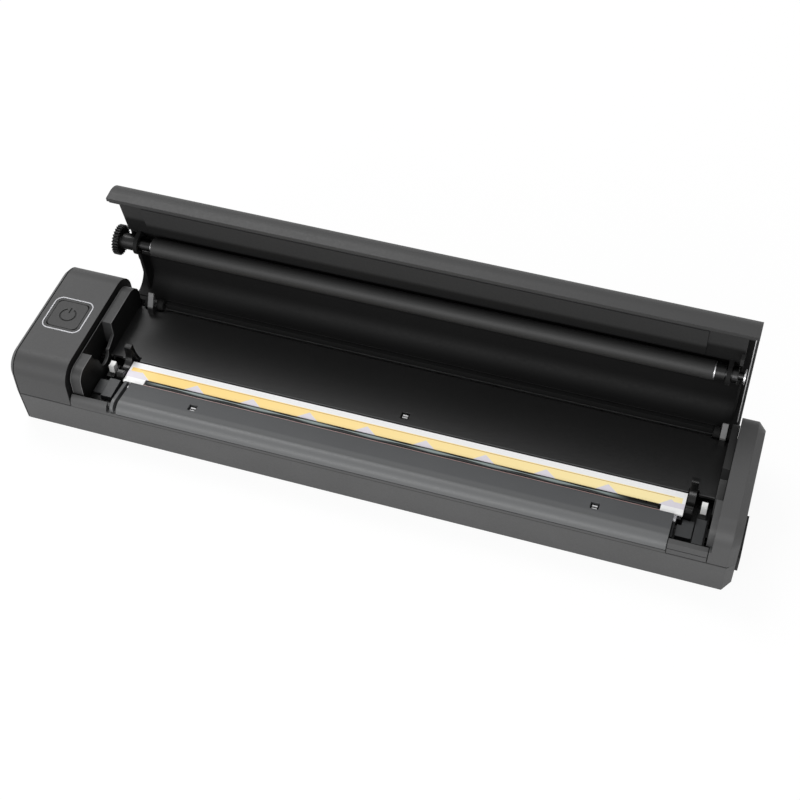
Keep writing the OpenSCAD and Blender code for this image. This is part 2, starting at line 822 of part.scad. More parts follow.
module hinge_pins() {
  color([0.75, 0.75, 0.76]) for (x = [hinge_left_x, hinge_right_x]) {
    rod(x - side_gap - knuckle_width, x + hinge_width + side_gap + knuckle_width, hinge_y,
      hinge_z, hinge_pin_diameter);
  }
}

module button_ring() {
  color([0.8, 0.8, 0.8]) difference() {
    pill(button_x, button_y, ring_width - 0.1, ring_depth - 0.1, ring_radius - 0.05,
      case_top - 1.4, case_top + 0.15);
    pill(button_x, button_y, ring_width - 1.4, ring_depth - 1.4, ring_radius - 0.7,
      case_top - 3, case_top + 1);
  }
}

module power_button() {
  w = ring_width - 2;
  d = ring_depth - 2;
  color([0.36, 0.36, 0.36]) difference() {
    union() {
      pill(button_x, button_y, w, d, ring_radius - 1, case_top - 3.4, case_top);
      // Hidden flange that keeps the button in
      pill(button_x, button_y, ring_width + 1.6, ring_depth + 1.6, ring_radius,
        case_top - 3.4, case_top - 2.2);
      translate([button_x, button_y, 27.9]) cylinder(d = 4, h = 4.4);
    }
    // Power symbol, engraved
    translate([button_x, button_y, case_top - 0.25]) linear_extrude(1) {
      difference() {
        circle(d = 6.6);
        circle(d = 5.7);
        rotate(90) polygon([[0, 0], [6 * cos(26), 6 * sin(26)], [6 * cos(26), -6 * sin(26)]]);
      }
      translate([-0.23, 1]) square([0.46, 2.7]);
    }
  }
}

module button_switch() {
  color([0.2, 0.2, 0.2]) {
    translate([button_x - 3, button_y - 3, 23.8]) cube([6, 6, 2.6]);
    translate([button_x, button_y, 26.4 - eps]) cylinder(d = 3.2, h = 0.7);
  }
}

module switch_board() {
  color([0.1, 0.35, 0.18]) block(-half_length + 3.8, pod_edge - 3.6, -13.2, 16.2, 22.6, 23.8);
}

module main_board() {
  color([0.1, 0.35, 0.18]) {
    block(board_left, board_right, -22, 5, floor_top + 2, floor_top + 3.2);
    // Chips and connectors
    block(-60, -46, -16, -4, floor_top + 3.2 - eps, floor_top + 4.6);
    block(-20, -8, -14, -4, floor_top + 3.2 - eps, floor_top + 4.2);
    block(30, 54, -20, -14, floor_top + 3.2 - eps, floor_top + 6.4);
    block(80, 92, -12, -2, floor_top + 3.2 - eps, floor_top + 5.4);
    block(-98, -88, -12, -4, floor_top + 3.2 - eps, floor_top + 7);
  }
}

module usb_port() {
  color([0.75, 0.75, 0.76]) along_x(-half_length + 0.4, -half_length + 7.6)
    translate([inlet_y, inlet_z]) difference() {
    union() {
      square([5.6, 3.3], center = true);
      for (s = [-1, 1]) translate([s * 2.8, 0]) circle(d = 3.3);
    }
    difference() {
      union() {
        square([5.6, 2.6], center = true);
        for (s = [-1, 1]) translate([s * 2.8, 0]) circle(d = 2.6);
      }
      square([6, 0.7], center = true);
    }
  }
  color([0.1, 0.35, 0.18]) block(-half_length + 3.6, -half_length + 14, inlet_y - 5, inlet_y + 4.7, 5, 6.25);
  color([0.6, 0.6, 0.6]) block(-half_length + 6.6, -half_length + 8, inlet_y - 3.3, inlet_y + 3.3, 6.24, 9.5);
}

module battery_pack() {
  color([0.2, 0.35, 0.6]) {
    rod(5 - cell_length - 0.4, 5 - 0.4, cell_y, cell_z, cell_diameter);
    rod(5, 5 + cell_length, cell_y, cell_z, cell_diameter);
  }
  color([0.8, 0.8, 0.8]) {
    rod(4.5, 5.1, cell_y, cell_z, 8);
    rod(5 + cell_length - 0.1, 5 + cell_length + 0.8, cell_y, cell_z, 6);
  }
}

module stepper_motor() {
  color([0.75, 0.75, 0.76]) {
    rod(step_left - 13.2, step_left - 1.2, pinion_y, pinion_z, 15);
    rod(step_left - 1.3, step_left - 0.4, pinion_y, pinion_z, 6);
  }
}

module motor_plate() {
  outer = pod_edge - 0.7;
  inner = step_left - 0.4;
  color([0.75, 0.75, 0.76]) difference() {
    union() {
      block(outer - 1, outer, -12, 20, floor_top, seam_height - 0.2);
      block(inner - 0.8, inner, -12, 14, floor_top, 18.6);
      block(inner - 0.8, outer, -12, 20, floor_top, floor_top + 0.8);
    }
    rod(inner - 8, inner + 2, pinion_y, pinion_z, 6);
    rod(outer - 2, outer + 1, pinion_y, pinion_z, 6);
    rod(outer - 2, outer + 1, reduction_y, reduction_z, 5.2);
    rod(inner - 8, inner + 2, reduction_y, reduction_z, gear_pin_diameter);
    rod(outer - 2, outer + 1, idler_y, idler_z, gear_pin_diameter);
  }
}

module gear_pins() {
  color([0.75, 0.75, 0.76]) {
    rod(pod_edge - 1.7, cheek_right - 0.2, idler_y, idler_z, gear_pin_diameter);
    rod(step_left - 1.2, cheek_right - 0.2, reduction_y, reduction_z, gear_pin_diameter);
  }
}

module sensor_windows() {
  color([0.02, 0.02, 0.02]) {
    for (x = [sensor_left_x, sensor_right_x]) {
      block(x - 1.55, x + 1.55, -19.05, -15.95, 17.2, 19.4);
      block(x - 1, x + 1, -17.3, -16.7, 19.3, 20);
      block(x - 1, x + 1, -18.5, -17.9, 19.3, 20);
    }
    block(bed_sensor_x - 1.55, bed_sensor_x + 1.55, 2.45, 5.55, 16, 17.9);
    block(bed_sensor_x - 1, bed_sensor_x + 1, 3.2, 3.7, 17.8, 18.6);
    block(bed_sensor_x - 1, bed_sensor_x + 1, 4.3, 4.8, 17.8, 18.6);
  }
}

// Moving parts

// Inner side of the lid at its front, with the channel for the roller
module liner_underside(rise) {
  difference() {
    polygon([[-24.8, 24 + rise], [-8.7, 25.6 + rise], [-4.7, 27.5 + rise], [5.8, 26.5 + rise],
      [15, 32.3 + rise], [15, 40], [-30, 40], [-26, 24 + rise]]);
    translate([roller_y, roller_z]) circle(r = 4.7 + rise);
  }
}

// Step in the lid's rear left corner
module rear_corner() {
  block(-half_length, lid_left + 1.3, rear_arc_y - 4, rear_depth + 1, 0, case_top + 1);
}

module lid_shell() {
  color([0.36, 0.36, 0.36]) open_lid() difference() {
    union() {
      difference() {
        along_x(lid_left, lid_right) difference() {
          case_section(0);
          case_section(lid_wall);
        }
        block(-half_length, half_length, front_face - 1, 0, 0, lip_height);
        block(-half_length, half_length, 0, rear_depth + 1, 0, rim_top);
      }
      // Knuckles
      for (x = [hinge_left_x, hinge_right_x], s = [0, 1]) {
        k0 = s == 0 ? x - side_gap - knuckle_width : x + hinge_width + side_gap;
        along_x(k0, k0 + knuckle_width) intersection() {
          union() {
            translate([hinge_y, hinge_z]) circle(r = knuckle_radius);
            translate([rear_depth - lid_wall, hinge_z]) square([lid_wall - 0.4, 3.5]);
          }
          case_section(0);
        }
      }
    }
    for (x = [hinge_left_x, hinge_right_x]) {
      rod(x - 4, x + 7, hinge_y, hinge_z, hinge_pin_diameter + 2 * running_fit);
      // Clear of the bracket
      block(x - side_gap, x + hinge_width + side_gap, hinge_y - 4, rear_depth + 1, 0,
        hinge_z + knuckle_radius + 0.4);
    }
    rear_corner();
  }
}

module lid_liner() {
  color([0.11, 0.11, 0.11]) open_lid() difference() {
    union() {
      difference() {
        along_x(lid_left + 0.6, lid_right - 0.9) difference() {
          case_section(lid_wall);
          case_section(lid_wall + liner_wall);
        }
        block(-half_length, half_length, front_face - 1, 0, 0, lip_height + 0.5);
        block(-half_length, half_length, 0, rear_depth + 1, 0, rim_top);
      }
      // Rim along the rear edge
      intersection() {
        along_x(lid_left + 0.6, lid_right - 0.4) difference() {
          case_section(0);
          case_section(lid_wall + liner_wall);
        }
        block(-half_length, half_length, 0, rear_depth + 1, lid_rear_height, rim_top);
      }
      // Ribs at both ends
      intersection() {
        union() {
          block(cheek_right + 0.4, cheek_right + 1.6, 5.8, rear_depth, rib_height, case_top);
          block(cap_edge - 3.9, cap_edge - 3.2, 5.8, rear_depth, rib_height, case_top);
        }
        along_x(-half_length, half_length) case_section(lid_wall);
      }
      // Channel for the roller, hollow behind, closed at its ends
      difference() {
        intersection() {
          along_x(cheek_right + 0.4, cap_edge - 4) liner_underside(0);
          along_x(-half_length, half_length) case_section(lid_wall);
        }
        intersection() {
          along_x(cheek_right + 1.6, cap_edge - 5.2) liner_underside(1.2);
          along_x(-half_length, half_length) case_section(lid_wall + liner_wall);
        }
      }
      // Strip that guides the paper out, raised between the ends
      intersection() {
        along_x(deck_left - 5, deck_right - 2.1)
          polygon([[-24.6, 23.6], [-9.6, 25.1], [-9.6, 27], [-24.6, 26]]);
        along_x(-half_length, half_length) case_section(lid_wall);
      }
      // Lugs that carry the roller's bushes
      for (x = [lug_left_x, lug_right_x]) {
        along_x(x, x + lug_width) {
          translate([roller_y, roller_z]) circle(r = 4.2);
          polygon([[-8.9, roller_z], [-0.5, roller_z], [1.5, 28.5], [-10, 28.5]]);
        }
      }
      // Catch beside the right end
      block(cap_edge - 5.2, cap_edge - 4, -15, -11.5, 22, 27);
    }
    for (x = [lug_left_x, lug_right_x]) {
      rod(x - 1, x + lug_width + 1, roller_y, roller_z, shaft_diameter + 1.6);
    }
    // Clear of the knuckles
    for (x = [hinge_left_x, hinge_right_x]) {
      block(x - knuckle_reach, x + hinge_width + knuckle_reach, hinge_y - 4, rear_depth, 0,
        hinge_z + knuckle_radius + 0.4);
    }
    rear_corner();
    // Line along the rear edge
    block(-half_length, half_length, rear_depth - lid_wall - liner_wall - 1,
      rear_depth - lid_wall - liner_wall + 0.4, 22.8, 23.2);
  }
}

module platen_bushes() {
  color([0.85, 0.83, 0.78]) open_lid() for (x = [lug_left_x, lug_right_x]) {
    difference() {
      rod(x, x + lug_width, roller_y, roller_z, shaft_diameter + 1.6);
      rod(x - 1, x + lug_width + 1, roller_y, roller_z, shaft_diameter + 2 * running_fit);
    }
  }
}

module platen_shaft() {
  color([0.75, 0.75, 0.76]) open_lid() {
    rod(gear_right, hub_right - 0.7 + eps, roller_y, roller_z, 3);
    rod(hub_right - 0.7, cap_edge - 6.8, roller_y, roller_z, shaft_diameter);
    rod(rubber_right, rubber_right + 0.5, roller_y, roller_z, rubber_diameter - 0.2);
    rod(cap_edge - 6.9, cap_edge - 4.9, roller_y, roller_z, 6.4);
    rod(cap_edge - 5, cap_edge - 1.9, roller_y, roller_z, 3);
  }
}

module platen_rubber() {
  color([0.1, 0.1, 0.1]) open_lid() difference() {
    rod(rubber_left, rubber_right, roller_y, roller_z, rubber_diameter);
    rod(rubber_left - 1, rubber_right + 1, roller_y, roller_z, shaft_diameter);
  }
}

module platen_gear() {
  color([0.06, 0.06, 0.06]) open_lid() {
    translate([0, roller_y, roller_z])
      gear(roller_teeth, gear_left, gear_right, 3, roller_phase);
    difference() {
      rod(gear_right - eps, hub_right, roller_y, roller_z, 6.4);
      rod(gear_right - 1, hub_right - 0.6, roller_y, roller_z, 3);
      rod(hub_right - 0.7, hub_right + 1, roller_y, roller_z, shaft_diameter);
    }
  }
}

// Dark sleeve between the rubber and the right lug
module platen_collar() {
  color([0.06, 0.06, 0.06]) open_lid() difference() {
    rod(rubber_right + 0.5, lug_right_x - 0.4, roller_y, roller_z, collar_diameter);
    rod(rubber_right, lug_right_x, roller_y, roller_z, shaft_diameter);
  }
}

module platen_clip() {
  color([0.75, 0.75, 0.76]) open_lid() difference() {
    rod(cap_edge - 2.8, cap_edge - 2.2, roller_y, roller_z, 5.6);
    rod(cap_edge - 4, cap_edge - 1, roller_y, roller_z, 3);
  }
}

module idler_gear() {
  color([0.85, 0.85, 0.82]) translate([0, idler_y, idler_z])
    gear(idler_teeth, gear_left, gear_right, gear_pin_diameter + 2 * running_fit, idler_phase);
}

module reduction_gear() {
  bore = gear_pin_diameter + 2 * running_fit;
  color([0.85, 0.85, 0.82]) translate([0, reduction_y, reduction_z]) {
    gear(small_teeth, gear_left, gear_right, bore, small_phase);
    gear(large_teeth, step_left, step_right, bore, small_phase);
    difference() {
      rod(step_right - eps, gear_left + eps, 0, 0, 4.4);
      rod(step_left - 1, gear_left + 1, 0, 0, bore);
    }
  }
}

module motor_pinion() {
  color([0.8, 0.65, 0.3]) translate([0, pinion_y, pinion_z]) {
    gear(pinion_teeth, step_left - 0.1, step_right + 0.1, 1, pinion_phase);
    rod(step_left - 0.3, step_right + 0.2, 0, 0, 1);
  }
}

module head_ceramic() {
  color([0.93, 0.92, 0.88])
    block(head_left, head_right, head_front, head_rear, ceramic_bottom, head_top);
}

module head_carrier() {
  color([0.7, 0.7, 0.72]) {
    block(head_left + 0.4, head_right - 0.4, head_front + 0.1, head_rear - 0.1, carrier_bottom,
      ceramic_bottom);
    // Pivot arms at both ends
    rod(pivot_left_x - 1.6, pivot_left_x + 1.8, head_pivot_y, head_pivot_z, head_pivot_diameter);
    rod(pivot_right_x + 0.2, pivot_right_x + 3.6, head_pivot_y, head_pivot_z,
      head_pivot_diameter);
    for (x = [pivot_left_x - 1.6, pivot_right_x + 2.4]) {
      block(x, x + 1.2, -13.2, head_front + 0.2, carrier_bottom, 17.2);
    }
  }
}

module head_bead() {
  color([0.05, 0.05, 0.05]) {
    r = (bead_rear - bead_front) / 2;
    intersection() {
      union() {
        rod(bead_left + r, bead_right - r, bead_front + r, head_top - 0.6, 2 * r);
        for (x = [bead_left + r, bead_right - r]) {
          translate([x, bead_front + r, head_top - 0.6])
            rotate_extrude() intersection() {
              circle(r = r);
              translate([0, -r]) square([r, 2 * r]);
            }
        }
      }
      block(head_left, head_right, -20, 0, head_top, head_top + 5);
    }
  }
}

module head_board() {
  color([0.1, 0.35, 0.18]) block(-30, 60, head_front + 0.3, spring_y - 2.4, carrier_bottom - 0.8,
    carrier_bottom);
}

module head_springs() {
  color([0.75, 0.75, 0.76]) for (x = spring_x) {
    translate([x, spring_y, chassis_top - 0.4]) difference() {
      cylinder(d = 4, h = carrier_bottom - chassis_top + 0.4);
      translate([0, 0, -1]) cylinder(d = 3, h = 6);
    }
  }
}

module release_button() {
  color([0.04, 0.04, 0.04]) {
    block(half_length - 3.6, half_length + 1.1, release_y - release_length / 2,
      release_y + release_length / 2, release_low, release_high);
    block(half_length - 3.6, half_length - 2.3, release_y - release_length / 2 - 1,
      release_y + release_length / 2 + 1, release_low - 0.8, release_high);
  }
}

module latch_slider() {
  color([0.2, 0.2, 0.2]) {
    block(cap_edge - 1.9, half_length - 3.6, -15, -7, 9.5, 12);
    block(cap_edge - 5.4, cap_edge - 1.9 + eps, -13, -9, 9.5, 12);
  }
}

module latch_spring() {
  color([0.75, 0.75, 0.76]) difference() {
    rod(cap_edge - 0.1, half_length - 3.6, -4, 10.7, 3);
    rod(cap_edge - 1, half_length - 3, -4, 10.7, 2.2);
  }
}

lower_shell();
base_pad();
case_screws();
pod_cover();
left_end_plate();
right_cap();
front_deck();
front_block();
paper_bed();
side_frame_left();
side_frame_right();
print_frame();
recess_plates();
bearing_bracket_left();
bearing_bracket_right();
saddle_left();
saddle_right();
hinge_bracket_left();
hinge_bracket_right();
hinge_pins();
button_ring();
button_switch();
switch_board();
main_board();
usb_port();
battery_pack();
stepper_motor();
motor_plate();
gear_pins();
sensor_windows();
head_springs();
latch_spring();
power_button();
lid_shell();
lid_liner();
platen_bushes();
platen_shaft();
platen_rubber();
platen_gear();
platen_collar();
platen_clip();
idler_gear();
reduction_gear();
motor_pinion();
head_ceramic();
head_carrier();
head_bead();
head_board();
release_button();
latch_slider();
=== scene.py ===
"""Looks for the A4 portable thermal printer: materials, small details, studio and camera.

Places in the finishes are in the frame's millimetres, at rest with the lid open: X runs to
the right, Y to the back and Z up.
"""

import math

import bmesh
import bpy
from mathutils import Matrix, Vector


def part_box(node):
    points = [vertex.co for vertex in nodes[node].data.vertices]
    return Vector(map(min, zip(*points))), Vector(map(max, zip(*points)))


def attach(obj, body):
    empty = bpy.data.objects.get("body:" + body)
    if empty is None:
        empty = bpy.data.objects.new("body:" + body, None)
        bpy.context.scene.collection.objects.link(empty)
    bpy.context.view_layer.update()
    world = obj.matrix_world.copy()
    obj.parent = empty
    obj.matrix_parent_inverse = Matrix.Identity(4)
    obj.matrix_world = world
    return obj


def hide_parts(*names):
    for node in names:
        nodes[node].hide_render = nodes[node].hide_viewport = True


MM = 0.001

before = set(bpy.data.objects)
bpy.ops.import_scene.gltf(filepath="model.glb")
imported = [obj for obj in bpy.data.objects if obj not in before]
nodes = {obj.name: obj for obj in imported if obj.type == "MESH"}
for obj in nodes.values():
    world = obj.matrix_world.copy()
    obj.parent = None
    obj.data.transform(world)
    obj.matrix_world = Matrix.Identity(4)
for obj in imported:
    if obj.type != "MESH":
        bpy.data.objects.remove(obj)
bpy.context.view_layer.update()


def low(node):
    """Lowest corner of a CAD node in millimetres."""
    return Vector(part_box(node)[0]) / MM


def high(node):
    """Highest corner of a CAD node in millimetres."""
    return Vector(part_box(node)[1]) / MM


# Places that more than one finish or detail needs

HINGE_Y = 29.5
HINGE_Z = 20.6
LID_ANGLE = math.radians(84)
CASE_TOP = high("pod_cover").z
HEAD_LOW = low("head_ceramic")
HEAD_HIGH = high("head_ceramic")
BEAD_LOW = low("head_bead")
BEAD_HIGH = high("head_bead")
BUTTON = (low("power_button") + high("power_button")) / 2


def opened(y, z):
    """Y and Z in the rest pose of a point of the closed lid."""
    dy, dz = y - HINGE_Y, z - HINGE_Z
    return (
        HINGE_Y + dy * math.cos(LID_ANGLE) + dz * math.sin(LID_ANGLE),
        HINGE_Z - dy * math.sin(LID_ANGLE) + dz * math.cos(LID_ANGLE),
    )


# Masks: sockets that are 1 where a finish changes and 0 elsewhere


def calc(tree, operation, a, b=None, c=None, clamp=False):
    """One Math node. Each input is a number or a socket."""
    node = tree.nodes.new("ShaderNodeMath")
    node.operation = operation
    node.use_clamp = clamp
    for socket, value in zip(node.inputs, (a, b, c)):
        if value is None:
            continue
        if isinstance(value, (int, float)):
            socket.default_value = value
        else:
            tree.links.new(value, socket)
    return node.outputs["Value"]


def split_coords(tree, kind):
    """X, Y and Z sockets of one kind of texture coordinates."""
    coords = tree.nodes.new("ShaderNodeTexCoord")
    split = tree.nodes.new("ShaderNodeSeparateXYZ")
    tree.links.new(coords.outputs[kind], split.inputs[0])
    return list(split.outputs)


def place(tree):
    """X, Y and Z of the surface in the frame's millimetres."""
    return [calc(tree, "MULTIPLY", metres, 1 / MM) for metres in split_coords(tree, "Object")]


def facing(tree, axis):
    """How far the surface faces along an axis of the object, -1 to 1."""
    return split_coords(tree, "Normal")["XYZ".index(axis)]


def to_front(tree):
    """How far the surface faces the front, -1 to 1."""
    return calc(tree, "MULTIPLY", facing(tree, "Y"), -1.0)


def above(tree, value, edge, soft=0.05):
    """0 below an edge and 1 above it, with a soft step. The edge may be a socket."""
    node = tree.nodes.new("ShaderNodeMapRange")
    node.interpolation_type = "SMOOTHSTEP"
    node.inputs["From Min"].default_value = -soft
    node.inputs["From Max"].default_value = soft
    tree.links.new(calc(tree, "SUBTRACT", value, edge), node.inputs["Value"])
    return node.outputs["Result"]


def below(tree, value, edge, soft=0.05):
    """1 below an edge and 0 above it."""
    return flip(tree, above(tree, value, edge, soft))


def between(tree, value, start, end, soft=0.05):
    """1 from start to end."""
    inside = above(tree, value, start, soft)
    outside = above(tree, value, end, soft)
    return calc(tree, "SUBTRACT", inside, outside, clamp=True)


def times(tree, *masks):
    """1 where all masks are 1."""
    result = masks[0]
    for mask in masks[1:]:
        result = calc(tree, "MULTIPLY", result, mask)
    return result


def either(tree, *masks):
    """1 where any mask is 1."""
    result = masks[0]
    for mask in masks[1:]:
        result = calc(tree, "MAXIMUM", result, mask)
    return result


def flip(tree, mask):
    """1 where the mask is 0."""
    return calc(tree, "SUBTRACT", 1.0, mask, clamp=True)


# Shader helpers


def grey(level):
    """Neutral grey, a trace cool."""
    return (level, level, level * 1.01)


def shade(colour, factor):
    """A colour made darker or lighter by a factor."""
    return [channel * factor for channel in colour]


def new_material(name, base, roughness, specular=0.5, metallic=0.0):
    """A material whose Principled shader has plain values, ready for nodes."""
    material = bpy.data.materials.new(name)
    material.use_nodes = True
    shader = principled(material)
    shader.inputs["Base Color"].default_value = (*base, 1.0)
    shader.inputs["Roughness"].default_value = roughness
    shader.inputs["Specular IOR Level"].default_value = specular
    shader.inputs["Metallic"].default_value = metallic
    return material, shader


def principled(material):
    """The material's Principled shader."""
    return material.node_tree.nodes["Principled BSDF"]


def paint(material, mask, colour):
    """Lays a colour over what the shader shows so far, where the mask is 1."""
    tree = material.node_tree
    socket = principled(material).inputs["Base Color"]
    node = tree.nodes.new("ShaderNodeMix")
    node.data_type = "RGBA"
    tree.links.new(mask, node.inputs["Factor"])
    tree.links.new(socket.links[0].from_socket, node.inputs["A"])
    if isinstance(colour, bpy.types.NodeSocket):
        tree.links.new(colour, node.inputs["B"])
    else:
        node.inputs["B"].default_value = (*colour, 1.0)
    tree.links.new(node.outputs["Result"], socket)


def polish(material, mask, roughness):
    """Changes the roughness where the mask is 1."""
    tree = material.node_tree
    socket = principled(material).inputs["Roughness"]
    node = tree.nodes.new("ShaderNodeMix")
    tree.links.new(mask, node.inputs["Factor"])
    tree.links.new(socket.links[0].from_socket, node.inputs["A"])
    node.inputs["B"].default_value = roughness
    tree.links.new(node.outputs["Result"], socket)


def object_coords(tree, scale=(1.0, 1.0, 1.0)):
    """Object coordinates through a mapping, so that grain keeps its size in metres."""
    coords = tree.nodes.new("ShaderNodeTexCoord")
    mapping = tree.nodes.new("ShaderNodeMapping")
    mapping.inputs["Scale"].default_value = scale
    tree.links.new(coords.outputs["Object"], mapping.inputs["Vector"])
    return mapping.outputs["Vector"]


def noise(tree, vector, scale, detail=2.0, rough=0.5):
    """Noise texture, with its scale in waves per metre."""
    node = tree.nodes.new("ShaderNodeTexNoise")
    node.inputs["Scale"].default_value = scale
    node.inputs["Detail"].default_value = detail
    node.inputs["Roughness"].default_value = rough
    tree.links.new(vector, node.inputs["Vector"])
    return node.outputs["Fac"]


NOISE_LOW = 0.3
NOISE_HIGH = 0.7


def spread(tree, value, start, end):
    """Maps the range that a noise mostly keeps to onto start to end."""
    node = tree.nodes.new("ShaderNodeMapRange")
    node.inputs["From Min"].default_value = NOISE_LOW
    node.inputs["From Max"].default_value = NOISE_HIGH
    node.inputs["To Min"].default_value = start
    node.inputs["To Max"].default_value = end
    tree.links.new(value, node.inputs["Value"])
    return node.outputs["Result"]


def ramp(tree, value, first, last, start=NOISE_LOW, end=NOISE_HIGH):
    """Colour that runs from first to last while the value goes from start to end."""
    node = tree.nodes.new("ShaderNodeValToRGB")
    node.color_ramp.elements[0].color = (*first, 1.0)
    node.color_ramp.elements[1].color = (*last, 1.0)
    node.color_ramp.elements[0].position = start
    node.color_ramp.elements[1].position = end
    tree.links.new(value, node.inputs["Fac"])
    return node.outputs["Color"]


def tint(tree, value, dark, light, shader):
    """Runs the base colour from dark to light along a noise."""
    tree.links.new(ramp(tree, value, dark, light), shader.inputs["Base Color"])


def vary_gloss(tree, value, roughness, reach, shader):
    """Runs the roughness up and down by reach along a noise."""
    spreading = spread(tree, value, roughness - reach, roughness + reach)
    tree.links.new(spreading, shader.inputs["Roughness"])


EDGE_RADIUS = 0.3
EDGE_SAMPLES = 4


def bump(tree, height, strength, distance, shader):
    """Fine relief, over edges that catch the light as if they were rounded."""
    edges = tree.nodes.new("ShaderNodeBevel")
    edges.samples = EDGE_SAMPLES
    edges.inputs["Radius"].default_value = EDGE_RADIUS * MM
    node = tree.nodes.new("ShaderNodeBump")
    tree.links.new(edges.outputs["Normal"], node.inputs["Normal"])
    node.inputs["Strength"].default_value = strength
    node.inputs["Distance"].default_value = distance
    tree.links.new(height, node.inputs["Height"])
    tree.links.new(node.outputs["Normal"], shader.inputs["Normal"])


# Plain finishes

SHELL = grey(0.052)
BLACK = grey(0.003)
STEEL = (0.5, 0.5, 0.51)
BLOTCH_SCALE = 35.0
LATHE_SCALE = 900.0
RUBBER_SCALE = 2200.0
PLASTIC_GLOSS = 0.05
METAL_GLOSS = 0.07
METAL_VARY = 0.1
RUBBER_VARY = 0.15
PLASTIC_RELIEF = 0.05 * MM
METAL_RELIEF = 0.03 * MM
RUBBER_RELIEF = 0.04 * MM


def plastic(name, base, roughness, grain=1400.0, depth=0.35, vary=0.06, specular=0.5):
    """Moulded plastic: spark-eroded grain, and soft blotches in its colour."""
    material, shader = new_material(name, base, roughness, specular)
    tree = material.node_tree
    vector = object_coords(tree)
    soft = noise(tree, vector, BLOTCH_SCALE, detail=3.0)
    tint(tree, soft, shade(base, 1 - vary), shade(base, 1 + vary), shader)
    fine = noise(tree, vector, grain, rough=0.6)
    vary_gloss(tree, fine, roughness, PLASTIC_GLOSS, shader)
    bump(tree, fine, depth, PLASTIC_RELIEF, shader)
    return material


def metal(name, base, roughness, along=(1.0, 1.0, 1.0)):
    """Bare metal with the fine lines that turning or rolling leaves."""
    material, shader = new_material(name, base, roughness, metallic=1.0)
    tree = material.node_tree
    lines = noise(tree, object_coords(tree, along), LATHE_SCALE)
    vary_gloss(tree, lines, roughness, METAL_GLOSS, shader)
    tint(tree, lines, shade(base, 1 - METAL_VARY), base, shader)
    bump(tree, lines, 0.2, METAL_RELIEF, shader)
    return material


def rubber(name, base, roughness, along=(1.0, 1.0, 1.0)):
    """Matt rubber with a ground surface."""
    material, shader = new_material(name, base, roughness, specular=0.35)
    tree = material.node_tree
    fine = noise(tree, object_coords(tree, along), RUBBER_SCALE, detail=3.0, rough=0.6)
    tint(tree, fine, shade(base, 1 - RUBBER_VARY), shade(base, 1 + RUBBER_VARY), shader)
    bump(tree, fine, 0.3, RUBBER_RELIEF, shader)
    return material


def shell(name):
    """The grey plastic of the outer case."""
    return plastic(name, SHELL, 0.52, depth=0.5, specular=0.35)


# Finishes of the case

SEAM_SHADE_LOW = 16.1
SEAM_SHADE_HIGH = 16.45
FACES_FRONT = 0.5


def tray_finish():
    """Lower shell, with painted shade in the seam along its front."""
    material = shell("tray_grey")
    tree = material.node_tree
    _, _, z = place(tree)
    front = above(tree, to_front(tree), FACES_FRONT)
    line = between(tree, z, SEAM_SHADE_LOW, SEAM_SHADE_HIGH, soft=0.04)
    # Painted shade: the front faces at the seam are painted black as the seam's shadow.
    paint(material, times(tree, front, line), BLACK)
    return material


POD_WALL = high("pod_cover").x - 0.12


def pod_finish():
    """Pod shell, whose inner side wall is black."""
    material = plastic("pod_grey", grey(0.04), 0.52, depth=0.5, specular=0.32)
    tree = material.node_tree
    x, _, _ = place(tree)
    paint(material, above(tree, x, POD_WALL, soft=0.04), BLACK)
    return material


KNUCKLE_LEFT = high("hinge_bracket_left").x + 1.2
KNUCKLE_RIGHT = low("hinge_bracket_right").x - 1.2
KNUCKLE_HALF = 5.0
HINGE_SHADE_REAR = 33.0
HINGE_SHADE_TOP = 23.4
KNUCKLE_SHADE_RISE = 3.0


def lid_finish():
    """Lid shell, with painted shade along its hinge, reaching higher at the two knuckles."""
    material = plastic("lid_grey", grey(0.031), 0.52, depth=0.5, specular=0.3)
    tree = material.node_tree
    x, y, z = place(tree)
    knuckles = either(
        tree,
        between(tree, x, KNUCKLE_LEFT - KNUCKLE_HALF, KNUCKLE_LEFT + KNUCKLE_HALF),
        between(tree, x, KNUCKLE_RIGHT - KNUCKLE_HALF, KNUCKLE_RIGHT + KNUCKLE_HALF),
    )
    top = calc(tree, "MULTIPLY_ADD", knuckles, KNUCKLE_SHADE_RISE, HINGE_SHADE_TOP)
    # Painted shade: black over the hinge and knuckles, where only shadow shows.
    hinge_shade = times(tree, below(tree, y, HINGE_SHADE_REAR), below(tree, z, top))
    paint(material, hinge_shade, grey(0.0))
    polish(material, hinge_shade, 0.8)
    return material


SYMBOL_RADIUS = 3.08
SYMBOL_LINE = 0.34
SYMBOL_OPENING = 0.49
SYMBOL_BAR_HALF = 0.31
SYMBOL_BAR_START = 0.9
SYMBOL_BAR_END = 3.8
BUTTON_SIDES = CASE_TOP - 0.06


def button_finish():
    """Power button: the power symbol, and painted shade on its sides in the gap round it."""
    material = plastic("button_grey", grey(0.024), 0.5, depth=0.35, specular=0.3)
    tree = material.node_tree
    x, y, z = place(tree)
    right = calc(tree, "SUBTRACT", x, BUTTON.x)
    back = calc(tree, "SUBTRACT", y, BUTTON.y)
    aside = calc(tree, "ABSOLUTE", right)
    squares = calc(tree, "ADD", times(tree, right, right), times(tree, back, back))
    radius = calc(tree, "SQRT", squares)
    wedge = calc(tree, "SUBTRACT", calc(tree, "MULTIPLY", back, SYMBOL_OPENING), aside)
    arc = times(
        tree,
        between(tree, radius, SYMBOL_RADIUS - SYMBOL_LINE, SYMBOL_RADIUS + SYMBOL_LINE),
        below(tree, wedge, 0.0, soft=0.1),
    )
    bar = times(
        tree,
        below(tree, aside, SYMBOL_BAR_HALF),
        between(tree, back, SYMBOL_BAR_START, SYMBOL_BAR_END),
    )
    # Painted shade: the button's sides below its top are black, as the gap's shadow.
    gap_shade = below(tree, z, BUTTON_SIDES, soft=0.04)
    paint(material, either(tree, gap_shade, arc, bar), grey(0.002))
    return material


DECK_HIGHLIGHT_REAR = -20.0


